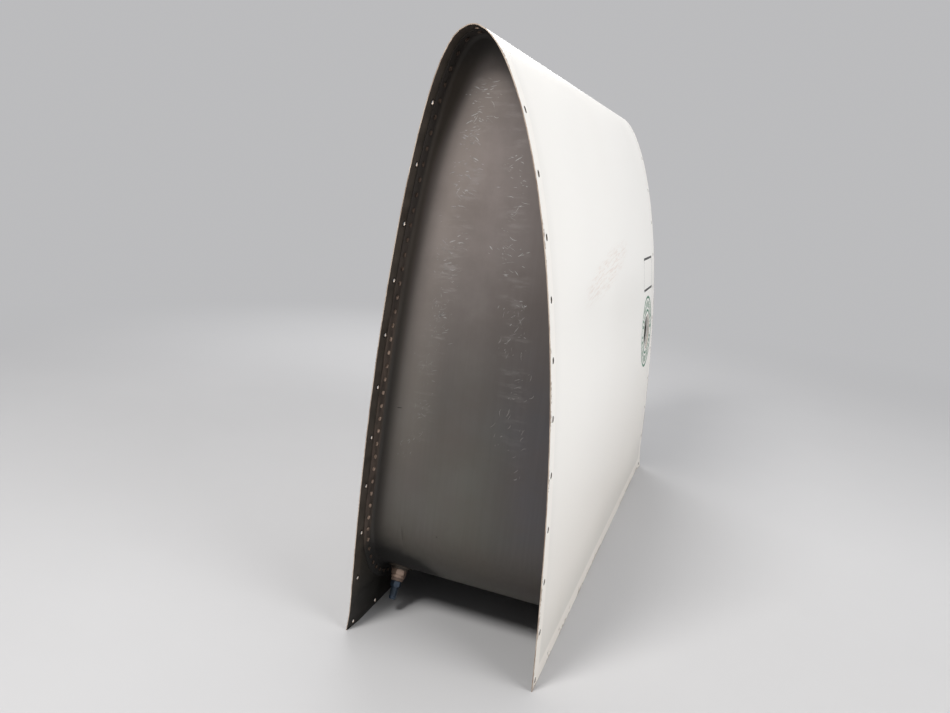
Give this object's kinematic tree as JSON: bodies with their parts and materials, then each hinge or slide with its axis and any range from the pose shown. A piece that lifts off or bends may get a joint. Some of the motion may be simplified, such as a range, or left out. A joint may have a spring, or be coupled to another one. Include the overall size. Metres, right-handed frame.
{
  "type": "wing fuel tank",
  "caption": "Leading-edge wing fuel tank: a wrapped skin closed by flanged end ribs and a rear wall, with baffles, filler neck, outlet, vent, drain and an open level sender port.",
  "frame": {"origin": "middle of the bottom of the bounding box, on the plane of the two aft edges of the skin", "axes": "+Y along the span from the inboard to the outboard end, +X from the lower skin to the upper skin, +Z from the aft edges to the leading edge; the tank stands on its aft edges"},
  "size_m": [0.241, 0.9144, 0.7112],
  "materials": {
    "white_paint": "gloss",
    "bare_sheet": "dull",
    "rivet_metal": "dull",
    "fitting_aluminium": "machined",
    "brass": "dull",
    "seal_rubber": "matt",
    "blue_anodised": "satin"
  },
  "bodies": {
    "root": {"drain_boss": "fitting_aluminium", "drain_boss_rivets": "rivet_metal", "drain_plug": "brass", "filler_neck": "white_paint", "filler_neck_rivets": "rivet_metal", "inboard_end_rib": "bare_sheet", "inboard_rib_rivets": "rivet_metal", "inner_baffle": "bare_sheet", "inner_baffle_rivets": "rivet_metal", "level_tab": "bare_sheet", "middle_baffle": "bare_sheet", "middle_baffle_rivets": "rivet_metal", "outboard_end_rib": "bare_sheet", "outboard_rib_rivets": "rivet_metal", "outer_baffle": "bare_sheet", "outer_baffle_rivets": "rivet_metal", "outlet_boss": "fitting_aluminium", "outlet_bushing": "brass", "outlet_nipple": "blue_anodised", "outlet_seal": "seal_rubber", "outlet_strainer": "brass", "rear_wall": "bare_sheet", "rear_wall_rivets": "rivet_metal", "sender_ring": "fitting_aluminium", "sender_ring_rivets": "rivet_metal", "skin": "white_paint", "vent_clip": "bare_sheet", "vent_clip_rivet": "rivet_metal", "vent_fitting": "fitting_aluminium", "vent_nut": "fitting_aluminium", "vent_tube": "fitting_aluminium"}
  },
  "joints": []
}
